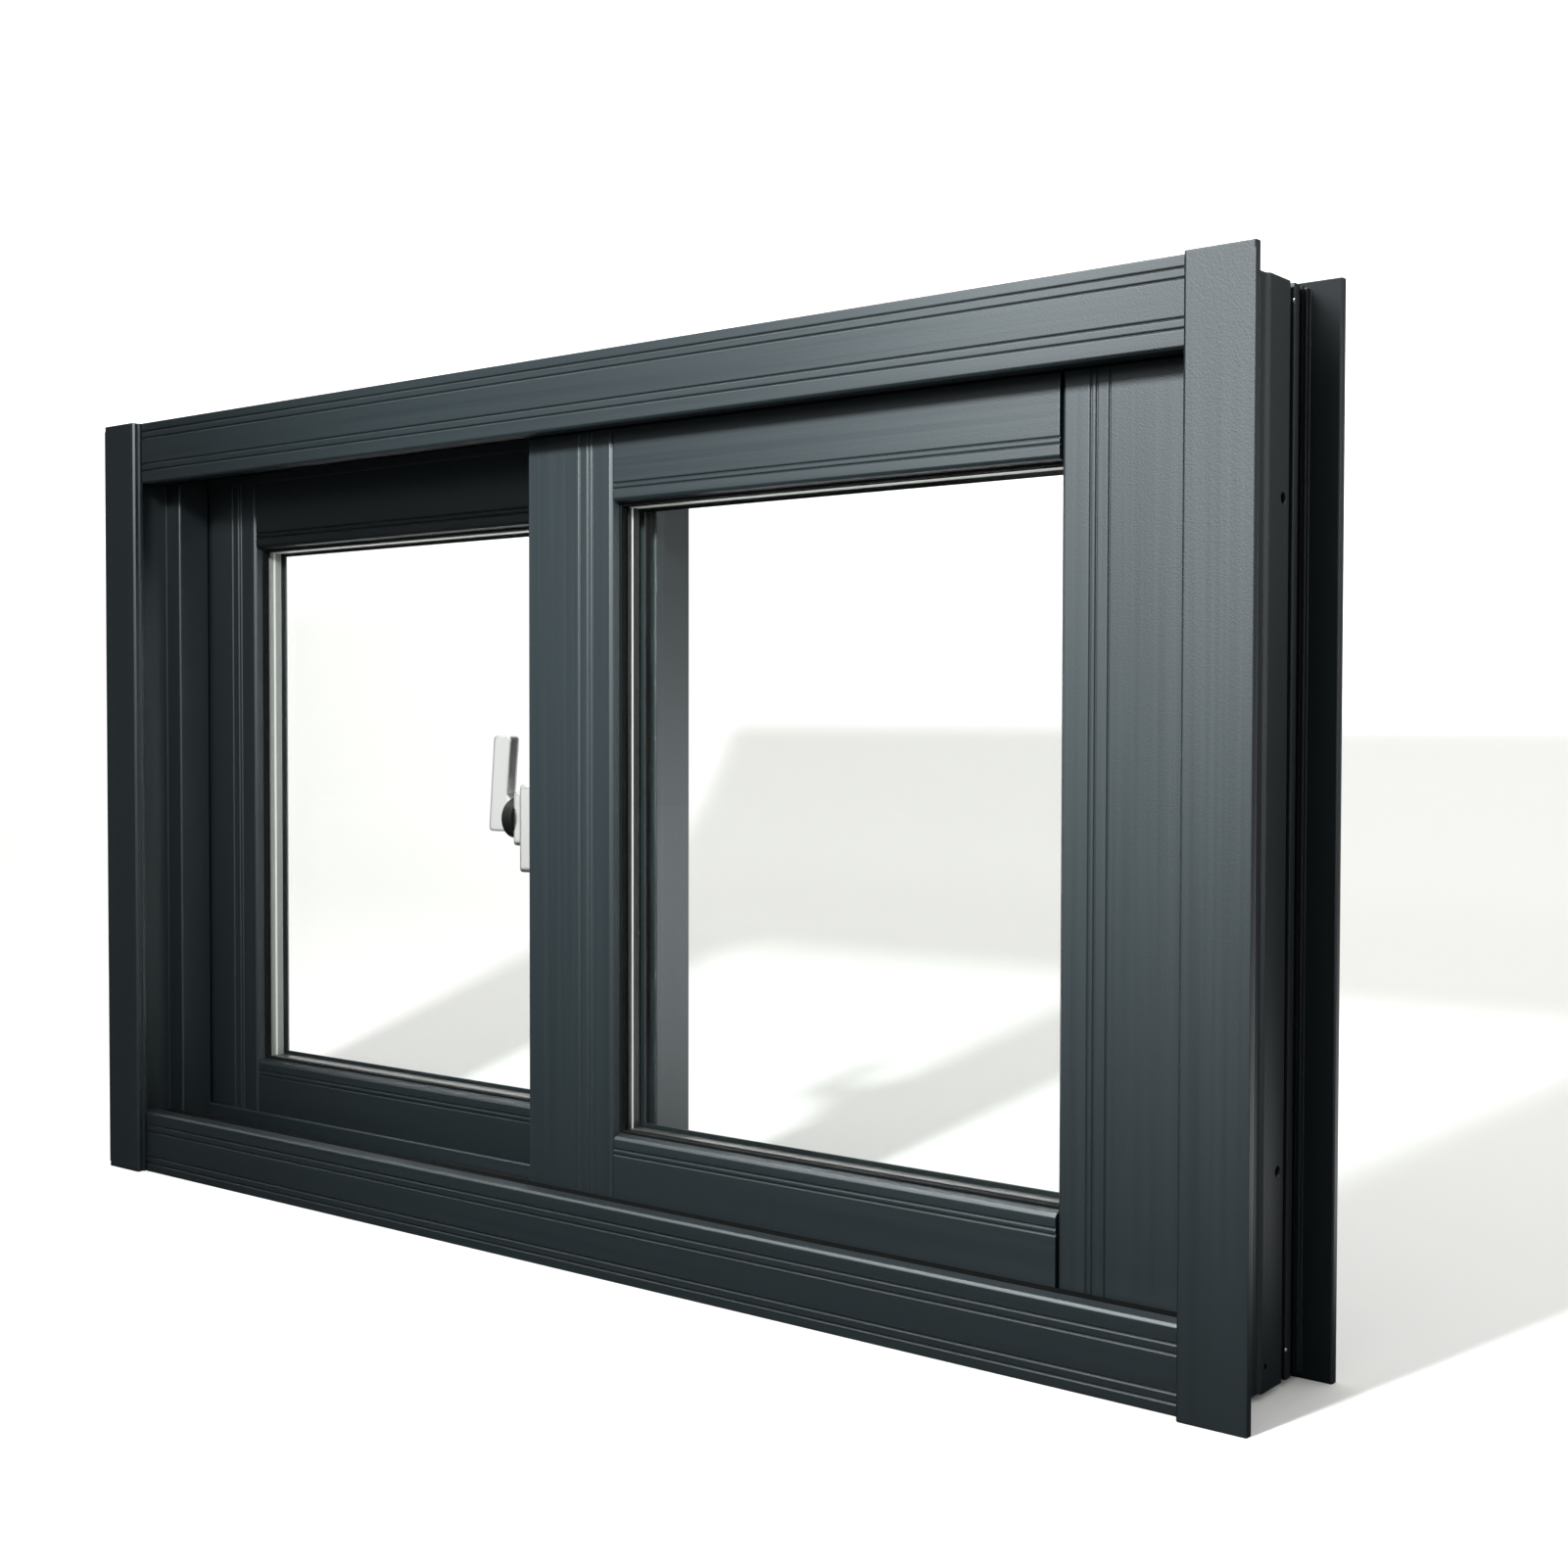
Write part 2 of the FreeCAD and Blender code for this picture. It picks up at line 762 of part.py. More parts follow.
def make_carriages(sash, x_left, x_right, track):
    """Two roller carriages that hang in the slot and ride on the track."""
    pieces = []
    housing_low = TRACK_TOP + S.wheel_radius
    housing_high = SASH_LOW + S.track_slot_high
    axle = TRACK_TOP + S.running_gap + S.wheel_radius
    for end, x in (("a", x_left + S.wheel_inset), ("b", x_right - S.wheel_inset)):
        name = f"{sash}_carriage_{end}"
        housing = block(
            name + "_housing",
            x - S.carriage_long / 2,
            track - S.track_slot / 2,
            housing_low,
            S.carriage_long,
            S.track_slot,
            housing_high - housing_low,
        )
        wheel = cylinder(
            name + "_wheel", S.wheel_radius, S.wheel_wide, x, track - S.wheel_wide / 2, axle, (0, 1, 0)
        )
        pieces.append(fuse(name, [housing, wheel]))
    keep(sash + "_carriages", group(sash + "_carriage_pair", pieces))


def make_interlocks(front_left, rear_right):
    """The two hooked strips that close the gap where the sashes meet."""
    gap_front = FRONT + S.front_sash_at + S.sash_depth
    thick = S.hook_thick
    leg = S.hook_base + thick
    reach = S.sash_gap - S.hook_clearance
    outline = [
        (0, 0),
        (leg, 0),
        (leg, reach - thick),
        (leg + S.hook_return, reach - thick),
        (leg + S.hook_return, reach),
        (leg - thick, reach),
        (leg - thick, thick),
        (0, thick),
    ]
    mirrored = [(x, S.sash_gap - y) for x, y in outline]
    middle = (front_left + rear_right) / 2
    offset = S.hook_apart / 2 + leg
    low = S.rail_face + S.hook_clearance
    long = S.height - low * 2
    front_hook = member("front_interlock_body")
    pad(front_hook, "front_interlock_strip", [outline], long)
    keep("front_interlock", place(front_hook, middle - offset, gap_front, low))
    rear_hook = member("rear_interlock_body")
    pad(rear_hook, "rear_interlock_strip", [mirrored], long)
    keep("rear_interlock", place(rear_hook, middle + offset, gap_front, low + long, 180))


def make_seals():
    """Brush strips between the sashes and the head and sill."""
    clearance = S.running_gap
    long = S.width - S.jamb_fin_reach * 2
    x = LEFT + S.jamb_fin_reach
    low = S.rail_face - S.brush_high
    top = S.height - S.rail_face
    runs = {
        "front": (FRONT + S.rail_lip, FRONT + S.front_sash_at),
        "rear": (FRONT + REAR_SASH_AT + S.sash_depth, FRONT + PLATE_AT),
    }
    for side, (near, far) in runs.items():
        start = near if side == "front" else near + clearance
        thick = far - near - clearance
        strips = [
            block(f"{side}_brush_low", x, start, low, long, thick, S.brush_high),
            block(f"{side}_brush_top", x, start, top, long, thick, S.brush_high),
        ]
        keep(side + "_brushes", group(side + "_brush_pair", strips))


def make_sill_block(stile_left):
    """The filler that closes the front track beside the meeting stile."""
    front = FRONT + S.rail_lip
    back = FRONT + FIN_BACK - S.rail_fin
    half = S.rail_thick / 2 + S.running_gap
    x = stile_left - S.block_gap - S.block_long
    solid = block("wind_block_solid", x, front, S.floor_at, S.block_long, back - front, S.block_high)
    slot = block(
        "wind_block_slot",
        x - S.wall,
        FRONT + TRACKS["front"] - half,
        S.floor_at - S.wall,
        S.block_long + S.wall * 2,
        half * 2,
        S.rail_high + S.wall + S.running_gap,
    )
    keep("wind_block", cut("wind_block_cut", solid, slot))


# Handle on the outer edge of the front meeting stile


def handle_block(node, x, y, z_low, thick, wide, high):
    """A flat block on the stile's edge with its four corners rounded."""
    body = member(node + "_body")
    outline = box_outline(as_size(0), as_size(0), wide, high)
    section = draw(body, node + "_section", "YZ_Plane", [outline])
    solid = body.newObject("PartDesign::Pad", node + "_pad")
    solid.Profile = section
    solid.setExpression("Length", thick.formula)
    round_corners(body, node + "_rounded", solid, S.handle_round, (1, 0, 0))
    keep(node, place(body, x, y - wide / 2, z_low))


def make_handle(stile_left):
    """Plate and boss fixed to the stile, with the hub and lever that turn on them."""
    y = FRONT + S.front_sash_at + S.handle_in
    z = S.handle_height
    plate_at = stile_left - S.backplate_thick
    boss_at = plate_at - S.boss_long
    handle_block(
        "handle_plate",
        plate_at,
        y,
        z - S.backplate_below,
        S.backplate_thick,
        S.backplate_wide,
        S.backplate_high,
    )
    handle_block(
        "handle_boss", boss_at, y, z - S.boss_high / 2, S.boss_long, S.boss_wide, S.boss_high
    )
    hub_start = boss_at - S.running_gap
    hub = cylinder("handle_hub_solid", S.hub_radius, S.hub_long, hub_start, y, z, (-1, 0, 0))
    keep("handle_hub", hub)
    body = member("handle_lever_body")
    wide = S.lever_wide
    outline = [
        (0, -S.lever_down),
        (wide, -S.lever_down),
        (wide, S.lever_seat_high),
        (S.lever_neck, S.lever_neck_high),
        (S.lever_lean + S.lever_top_wide, S.lever_up),
        (S.lever_lean, S.lever_up),
    ]
    section = draw(body, "handle_lever_section", "XZ_Plane", [outline])
    lever = body.newObject("PartDesign::Pad", "handle_lever_pad")
    lever.Profile = section
    lever.SideType = "Symmetric"
    lever.setExpression("Length", S.lever_thick.formula)
    round_corners(body, "handle_lever_rounded", lever, S.handle_round, (0, 1, 0))
    keep("handle_lever", place(body, hub_start - S.hub_long - wide, y, z))


def write_nodes():
    """Checks every object, then writes each node's solids to its own file."""
    DOC.recompute()
    for thing in DOC.Objects:
        if "Invalid" in thing.State or "Error" in thing.State:
            raise RuntimeError(f"{thing.Name} did not build: {thing.State}")
    for node, thing in NODES.items():
        shape = thing.Shape
        if shape.isNull() or not shape.isValid() or not shape.Solids:
            raise RuntimeError(f"{node} has no valid solid")
    os.makedirs("parts", exist_ok=True)
    for node, thing in NODES.items():
        thing.Shape.exportStep(f"parts/{node}.step")
    print(len(NODES), "nodes written")


FRONT_SASH_LEFT = RIGHT - S.floor_at - S.sash_side_gap - SASH_WIDE
REAR_SASH_LEFT = LEFT + S.floor_at + S.sash_side_gap

make_frame()
make_sash(
    "front",
    FRONT_SASH_LEFT,
    S.front_sash_at,
    S.meeting_stile,
    S.lock_stile,
    S.front_top_rail,
    S.front_bottom_rail,
)
make_sash(
    "rear",
    REAR_SASH_LEFT,
    REAR_SASH_AT,
    S.rear_lock_stile,
    S.meeting_stile,
    S.rear_top_rail,
    S.rear_bottom_rail,
)
make_interlocks(FRONT_SASH_LEFT, REAR_SASH_LEFT + SASH_WIDE)
make_seals()
make_sill_block(FRONT_SASH_LEFT)
make_handle(FRONT_SASH_LEFT)
write_nodes()
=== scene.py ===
import math

import bmesh
import bpy
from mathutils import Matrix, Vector


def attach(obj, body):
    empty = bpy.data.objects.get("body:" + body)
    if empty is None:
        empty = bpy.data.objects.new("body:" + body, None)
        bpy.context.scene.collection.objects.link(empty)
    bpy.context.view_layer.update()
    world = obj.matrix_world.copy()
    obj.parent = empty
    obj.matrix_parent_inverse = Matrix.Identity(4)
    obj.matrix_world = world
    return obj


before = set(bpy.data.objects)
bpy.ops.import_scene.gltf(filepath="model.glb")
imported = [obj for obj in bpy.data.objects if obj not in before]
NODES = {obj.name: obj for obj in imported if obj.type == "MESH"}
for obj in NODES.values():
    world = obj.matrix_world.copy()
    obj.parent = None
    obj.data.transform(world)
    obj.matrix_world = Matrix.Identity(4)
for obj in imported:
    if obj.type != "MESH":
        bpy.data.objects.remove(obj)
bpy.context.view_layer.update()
SASHES = ("front", "rear")

# Camera, from the photograph's own perspective, in metres and degrees

CAMERA_PLACE = (0.9316, -0.9753, 0.3561)
CAMERA_TURN = (88.45, -0.105, 38.44)
CAMERA_LENS = 45.51
CAMERA_SENSOR = 36.0


def add(name, data):
    """An object in the scene."""
    thing = bpy.data.objects.new(name, data)
    bpy.context.scene.collection.objects.link(thing)
    return thing


def make_camera():
    data = bpy.data.cameras.new("camera")
    data.lens = CAMERA_LENS
    data.sensor_width = CAMERA_SENSOR
    data.sensor_fit = "HORIZONTAL"
    camera = add("camera", data)
    camera.location = CAMERA_PLACE
    camera.rotation_euler = [math.radians(angle) for angle in CAMERA_TURN]
    bpy.context.scene.camera = camera


# Node trees


class Tree:
    """A node tree, built one node at a time."""

    def __init__(self, tree):
        self.tree = tree

    def node(self, kind, inputs=None, **settings):
        made = self.tree.nodes.new(kind)
        for name, value in settings.items():
            setattr(made, name, value)
        for socket, value in (inputs or {}).items():
            if isinstance(value, bpy.types.NodeSocket):
                self.tree.links.new(value, made.inputs[socket])
            else:
                made.inputs[socket].default_value = value
        return made

    def maths(self, operation, first, second):
        inputs = {0: first, 1: second}
        return self.node("ShaderNodeMath", inputs, operation=operation).outputs[0]

    def rising(self, value, low, high, strength=1.0):
        """Nothing below the low value, the full strength above the high one, eased between."""
        inputs = {"Value": value, "From Min": low, "From Max": high, "To Max": strength}
        made = self.node("ShaderNodeMapRange", inputs, interpolation_type="SMOOTHSTEP")
        return made.outputs["Result"]

    def split(self, vector):
        """The X, Y and Z of a vector, by name."""
        return self.node("ShaderNodeSeparateXYZ", {0: vector}).outputs

    def in_gloss(self):
        """One for rays that some surface has reflected, nothing for sight, also through glass."""
        depth = self.node("ShaderNodeLightPath").outputs["Glossy Depth"]
        return self.maths("MINIMUM", depth, 1.0)


class Shader(Tree):
    """A material's node tree."""

    def __init__(self, name):
        self.material = bpy.data.materials.new(name)
        self.material.use_nodes = True
        super().__init__(self.material.node_tree)
        self.tree.nodes.clear()
        self.output = self.node("ShaderNodeOutputMaterial")

    def noise(self, scale, detail, stretch=(1, 1, 1)):
        """Noise in the object's own coordinates, finer along the axes with a high stretch."""
        coordinates = self.node("ShaderNodeTexCoord").outputs["Object"]
        mapping = self.node("ShaderNodeMapping", {"Vector": coordinates, "Scale": stretch})
        inputs = {"Vector": mapping.outputs["Vector"], "Scale": scale, "Detail": detail}
        return self.node("ShaderNodeTexNoise", inputs).outputs["Fac"]

    def rounded(self, radius, samples):
        """The normal of a surface with its edges rounded."""
        return self.node("ShaderNodeBevel", {"Radius": radius}, samples=samples).outputs["Normal"]

    def grained(self, grain, strength, distance, normal):
        """The normal of a surface with a fine grain on it."""
        inputs = {"Height": grain, "Strength": strength, "Distance": distance, "Normal": normal}
        return self.node("ShaderNodeBump", inputs).outputs["Normal"]

    def blend(self, share, first, second):
        """A colour between two."""
        inputs = {"Factor": share, "A": first, "B": second}
        return self.node("ShaderNodeMix", inputs, data_type="RGBA").outputs["Result"]

    def finish(self, socket):
        """Ends the tree at a surface, and gives the material."""
        self.tree.links.new(socket, self.output.inputs["Surface"])
        return self.material

    def principled(self, inputs):
        return self.finish(self.node("ShaderNodeBsdfPrincipled", inputs).outputs["BSDF"])


# Materials: edge radii in metres, grain as noise scale, noise detail, bump strength and distance

COAT_EDGE = 0.0011
COAT_EDGE_SAMPLES = 6
COAT_GRAIN = (900.0, 3.0, 0.12, 0.0004)
COAT_DARK = (0.0026, 0.0046, 0.0054, 1)
COAT_PALE = (0.0038, 0.0064, 0.0074, 1)
COAT_TINT = (0.88, 0.96, 1.0, 1)
COAT_SMOOTH = 0.36
COAT_ROUGH = 0.46
STREAK_DETAIL = 4.0
STREAKS_UPRIGHT = (380, 380, 3)
STREAKS_ALONG = (3, 380, 380)
PLAIN_EDGE = 0.0005
SILVER_EDGE = 0.003
PLAIN_EDGE_SAMPLES = 4
PLAIN_GRAIN = (1200.0, 2.0, 0.08, 0.0003)
SPACER_DARK = (0.004, 0.0045, 0.004, 1)
SPACER_BRIGHT = (0.45, 0.455, 0.44, 1)
SEAL_WIDE = 0.0025
STRIP_WIDE = 0.0018
# Painted light: the grey share that the whole bar gets in the rear sash
REAR_BAR_PAINTED_LIGHT = 0.3
# Painted shade and light by which way a bar face looks: the share of the strip left on faces that
# look up, the facing at which that share is reached, and the facing below which a face is all
# bright
UPWARD_PAINTED_SHADE = 0.1
UPWARD = 0.9
DOWNWARD_PAINTED_LIGHT = -0.5
GLASS_TINT = (0.99, 0.996, 0.992, 1)
GLASS_DAYLIGHT = (0.95, 0.975, 0.96, 1)
GLASS_IOR = 1.35


def powder_coat(name, streaks):
    """Satin anthracite coat with a fine orange peel and faint streaks along the extrusion."""
    shader = Shader(name)
    scale, detail, strength, distance = COAT_GRAIN
    peel = shader.noise(scale, detail)
    drawn = shader.noise(1.0, STREAK_DETAIL, streaks)
    edges = shader.rounded(COAT_EDGE, COAT_EDGE_SAMPLES)
    roughness = {"Value": drawn, "To Min": COAT_SMOOTH, "To Max": COAT_ROUGH}
    return shader.principled(
        {
            "Base Color": shader.blend(drawn, COAT_DARK, COAT_PALE),
            "Roughness": shader.node("ShaderNodeMapRange", roughness).outputs["Result"],
            "Specular Tint": COAT_TINT,
            "Normal": shader.grained(peel, strength, distance, edges),
        }
    )


def plain(name, colour, roughness, metallic=0.0, specular=0.5, edge=PLAIN_EDGE):
    """One even colour with a very fine grain and softened edges."""
    shader = Shader(name)
    scale, detail, strength, distance = PLAIN_GRAIN
    peel = shader.noise(scale, detail)
    edges = shader.rounded(edge, PLAIN_EDGE_SAMPLES)
    return shader.principled(
        {
            "Base Color": colour,
            "Roughness": roughness,
            "Metallic": metallic,
            "Specular IOR Level": specular,
            "Normal": shader.grained(peel, strength, distance, edges),
        }
    )


def reach(name):
    """The lowest and highest corner of a node, in the window's frame."""
    thing = NODES[name]
    corners = [thing.matrix_world @ Vector(corner) for corner in thing.bound_box]
    low = Vector([min(corner[axis] for corner in corners) for axis in range(3)])
    high = Vector([max(corner[axis] for corner in corners) for axis in range(3)])
    return low, high


def spacer_bar(name):
    """A dark bar with a bright strip behind the outer seal, made greyer in the rear sash by
    painted light.

    The strip fades on the faces that look up, as painted shade, and the faces that look down are
    all bright, as painted light.
    """
    shader = Shader(name)
    geometry = shader.node("ShaderNodeNewGeometry").outputs
    depth = shader.split(geometry["Position"])["Y"]
    facing = shader.split(geometry["Normal"])["Z"]
    # Painted light: the bar behind the middle, in the rear sash, is greyer all over; the strip
    # itself is the spacer's metal
    strip_and_painted_light = shader.maths("MULTIPLY", shader.maths("GREATER_THAN", depth, 0.0), REAR_BAR_PAINTED_LIGHT)
    for sash in SASHES:
        start = reach(sash + "_spacer")[0].y + SEAL_WIDE
        past = shader.maths("GREATER_THAN", depth, start)
        short = shader.maths("LESS_THAN", depth, start + STRIP_WIDE)
        strip_and_painted_light = shader.maths("MAXIMUM", strip_and_painted_light, shader.maths("MULTIPLY", past, short))
    # Painted shade on faces that look up, which lose most of the strip, and painted light on
    # faces that look down, which are all bright
    fading = {"Value": facing, "From Max": UPWARD, "To Min": 1.0, "To Max": UPWARD_PAINTED_SHADE}
    lit = shader.node("ShaderNodeMapRange", fading).outputs["Result"]
    above = shader.maths("LESS_THAN", facing, DOWNWARD_PAINTED_LIGHT)
    share = shader.maths("MAXIMUM", shader.maths("MULTIPLY", strip_and_painted_light, lit), above)
    colour = shader.blend(share, SPACER_DARK, SPACER_BRIGHT)
    return shader.principled({"Base Color": colour, "Roughness": 0.4})


def clear_glass(name):
    """Clear float glass, faintly green, that lets daylight through as well as sight."""
    shader = Shader(name)
    solid = shader.node(
        "ShaderNodeBsdfPrincipled",
        {
            "Base Color": GLASS_TINT,
            "Roughness": 0.0,
            "IOR": GLASS_IOR,
            "Transmission Weight": 1.0,
        },
    )
    clear = shader.node("ShaderNodeBsdfTransparent", {"Color": GLASS_DAYLIGHT})
    path = shader.node("ShaderNodeLightPath").outputs
    light = shader.maths("MAXIMUM", path["Is Shadow Ray"], path["Is Diffuse Ray"])
    inputs = {0: light, 1: solid.outputs[0], 2: clear.outputs[0]}
    return shader.finish(shader.node("ShaderNodeMixShader", inputs).outputs[0])


SILVER = ("handle_plate", "handle_boss", "handle_lever")
PLASTIC = ("break", "carriage", "interlock", "block", "hub")
UPRIGHT = ("stile", "jamb", "side")


def dress_nodes():
    """Gives each node the first finish that has a word of the node's name."""
    finishes = (
        (("pane",), clear_glass("glass")),
        (("spacer",), spacer_bar("spacer")),
        (("gasket",), plain("rubber", (0.0008, 0.001, 0.0011, 1), 0.8, specular=0.1)),
        (("brush",), plain("brush", (0.0015, 0.0016, 0.0016, 1), 0.9, specular=0.05)),
        (SILVER, plain("silver", (0.62, 0.63, 0.615, 1), 0.34, metallic=1.0, edge=SILVER_EDGE)),
        (PLASTIC, plain("plastic", (0.0012, 0.0013, 0.0013, 1), 0.5, specular=0.2)),
        (UPRIGHT, powder_coat("coat_upright", STREAKS_UPRIGHT)),
        (("",), powder_coat("coat_along", STREAKS_ALONG)),
    )
    for name, thing in NODES.items():
        fitting = [finish for words, finish in finishes if any(word in name for word in words)]
        thing.data.materials.clear()
        thing.data.materials.append(fitting[0])


# Small fittings on both sides of the frame, by depth, height and radius, in metres

SIDES = {"right": 1, "left": -1}
DRAIN_HOLES = ((0.0045, 0.018, 0.0016),)
SCREW_HEADS = ((0.0295, 0.586, 0.0017), (0.0370, 0.567, 0.0012), (0.0300, 0.0205, 0.0012))
HOLE_THICK = 0.0002
HEAD_THICK = 0.0006
DISC_SEGMENTS = 24
DISC_TAPER = 0.8
DISC_RAISED = 0.4


def add_solid(name, build, place, material):
    """An object from a finished mesh, at a place."""
    mesh = bpy.data.meshes.new(name)
    build.to_mesh(mesh)
    build.free()
    mesh.materials.append(material)
    thing = add(name, mesh)
    thing.location = place
    return thing


def side_surface(side, depth, high):
    """Where a line from the side meets the frame, at a depth and a height."""
    found = None
    for layer in ("outer", "break", "inner"):
        jamb = NODES[side + "_jamb_" + layer]
        back = jamb.matrix_world.inverted()
        start = back @ Vector((SIDES[side], depth, high))
        aim = back.to_3x3() @ Vector((-SIDES[side], 0, 0))
        hit, place = jamb.ray_cast(start, aim)[:2]
        if hit:
            across = (jamb.matrix_world @ place).x
            if found is None or abs(across) > abs(found):
                found = across
    return found


def disc(name, side, measures, thick, material):
    """A small round plate lying on the side of the frame."""
    depth, high, radius = measures
    build = bmesh.new()
    bmesh.ops.create_cone(
        build,
        cap_ends=True,
        segments=DISC_SEGMENTS,
        radius1=radius,
        radius2=radius * DISC_TAPER,
        depth=thick,
    )
    across = side_surface(side, depth, high) + SIDES[side] * thick * DISC_RAISED
    plate = add_solid(name, build, (across, depth, high), material)
    plate.rotation_euler = (0, math.radians(90) * SIDES[side], 0)
    return plate


def add_fittings():
    """A drain hole, drawn as a thin near-black disc of painted shade, and three screw heads on
    each side.
    """
    steel = plain("steel", (0.6, 0.61, 0.62, 1), 0.3, metallic=1.0)
    # Painted shade: a near-black disc stands for the dark inside of each drain hole
    painted_hole_shade = plain("painted_hole_shade", (0.0005, 0.0005, 0.0005, 1), 0.9, specular=0.0)
    for side in SIDES:
        for count, measures in enumerate(DRAIN_HOLES):
            name = "drain_hole_" + side + str(count)
            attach(disc(name, side, measures, HOLE_THICK, painted_hole_shade), "window")
        for count, measures in enumerate(SCREW_HEADS):
            name = "screw_head_" + side + str(count)
            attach(disc(name, side, measures, HEAD_THICK, steel), "window")


# Plates at the sash corners, on the room side, between a rail's end and the stile

PLATE_SUNK = 0.0002


def corner_plate(name, low, high, material):
    build = bmesh.new()
    bmesh.ops.create_cube(build, size=1.0)
    bmesh.ops.scale(build, vec=high - low, verts=build.verts)
    return add_solid(name, build, (low + high) / 2, material)


def add_corner_plates():
    """Closes the four corners of each sash above and below its side beads."""
    coat = NODES["front_left_stile"].data.materials[0]
    for sash in SASHES:
        bead_low, bead_high = reach(sash + "_side_beads")
        for edge in ("top", "bottom"):
            rail_low, rail_high = reach(sash + "_" + edge + "_rail")
            if edge == "top":
                foot, crown = bead_high.z, rail_high.z
            else:
                foot, crown = rail_low.z, bead_low.z
            spans = {"left": (bead_low.x, rail_low.x), "right": (rail_high.x, bead_high.x)}
            for side, (start, end) in spans.items():
                name = "corner_plate_" + sash + "_" + edge + "_" + side
                low = Vector((start, bead_low.y, foot))
                high = Vector((end, rail_high.y - PLATE_SUNK, crown))
                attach(corner_plate(name, low, high, coat), "window")


# Studio floor and backdrop, one white sweep, in metres

SWEEP_FRONT = -6.0
SWEEP_BEND = 1.9
SWEEP_RADIUS = 4.0
SWEEP_STEPS = 16
SWEEP_HIGH = 5.0
SWEEP_HALF = 18.0
SWEEP_COLOUR = (0.84, 0.84, 0.82, 1)
SWEEP_IN_GLOSS = (0.018, 0.02, 0.022, 1)
BACKDROP_GLOW = 0.5
BACKDROP_COLOUR = (1, 1, 0.99, 1)
BACKDROP_DEPTHS = (4.2, 5.2)
BEHIND_IN_GLOSS = 2.4
BEHIND_DEPTHS = (0.1, 0.6)
BEHIND_RIGHT_END = (0.4, 1.2)


def sweep_paper():
    """White paper that glows a little far behind the window.

    Reflections see it dark, with a glow behind the window that lights its room side.
    """
    shader = Shader("sweep_paper")
    gloss = shader.in_gloss()
    colour = shader.blend(gloss, SWEEP_COLOUR, SWEEP_IN_GLOSS)
    paper = shader.node("ShaderNodeBsdfDiffuse", {"Color": colour}).outputs[0]
    place = shader.split(shader.node("ShaderNodeNewGeometry").outputs["Position"])
    far = shader.rising(place["Y"], *BACKDROP_DEPTHS, BACKDROP_GLOW)
    seen = shader.maths("MULTIPLY", shader.maths("SUBTRACT", 1.0, gloss), far)
    backdrop = {"Color": BACKDROP_COLOUR, "Strength": seen}
    glow = shader.node("ShaderNodeEmission", backdrop).outputs[0]
    behind = shader.rising(place["Y"], *BEHIND_DEPTHS, BEHIND_IN_GLOSS)
    beside = shader.maths("SUBTRACT", 1.0, shader.rising(place["X"], *BEHIND_RIGHT_END))
    mirrored = shader.maths("MULTIPLY", shader.maths("MULTIPLY", behind, beside), gloss)
    sheen = shader.node("ShaderNodeEmission", {"Strength": mirrored}).outputs[0]
    pale = shader.node("ShaderNodeAddShader", {0: paper, 1: glow}).outputs[0]
    return shader.finish(shader.node("ShaderNodeAddShader", {0: pale, 1: sheen}).outputs[0])


def make_sweep():
    """A floor that curves up into a backdrop behind the window."""
    profile = [(SWEEP_FRONT, 0.0), (SWEEP_BEND, 0.0)]
    for step in range(1, SWEEP_STEPS + 1):
        turn = math.pi / 2 * step / SWEEP_STEPS
        across = SWEEP_BEND + SWEEP_RADIUS * math.sin(turn)
        up = SWEEP_RADIUS * (1 - math.cos(turn))
        profile.append((across, up))
    profile.append((SWEEP_BEND + SWEEP_RADIUS, SWEEP_HIGH))
    points = [(x, y, z) for y, z in profile for x in (-SWEEP_HALF, SWEEP_HALF)]
    faces = [(i, i + 1, i + 3, i + 2) for i in range(0, len(points) - 2, 2)]
    mesh = bpy.data.meshes.new("sweep")
    mesh.from_pydata(points, [], faces)
    mesh.shade_smooth()
    mesh.materials.append(sweep_paper())
    sweep = add("sweep", mesh)
    return sweep


# Room around the sweep. A light in it is a direction, the cosines of the angles to it at
# which the light starts and is full, and a strength, which is 1 where none is given.

ROOM_LIGHT = 0.92
ROOM_IN_SIGHT = 1.0
ROOM_IN_GLOSS = 0.02
CEILING = ((0, 0, 1), 0.80, 0.97, 7.0)
RIGHT_PANEL = ((0.95, -0.32, 0.05), 0.93, 0.99, 5.0)
FRONT_PANEL = ((-0.10, -1.0, 0.16), 0.88, 0.99, 9.0)
FRONT_RAISED = ((0, 0, 1), 0.02, 0.40)
BAND = ((-1, 0, 0), 0.12, 0.42, 19.0)
BAND_RAISED = ((0, 0, 1), 0.3, 0.5)
BAND_ENDS = (((0, -1, 0), 0.22, 0.45), ((0, 1, 0), 0.22, 0.5), ((-1, 0, 0), 0.50, 0.74))


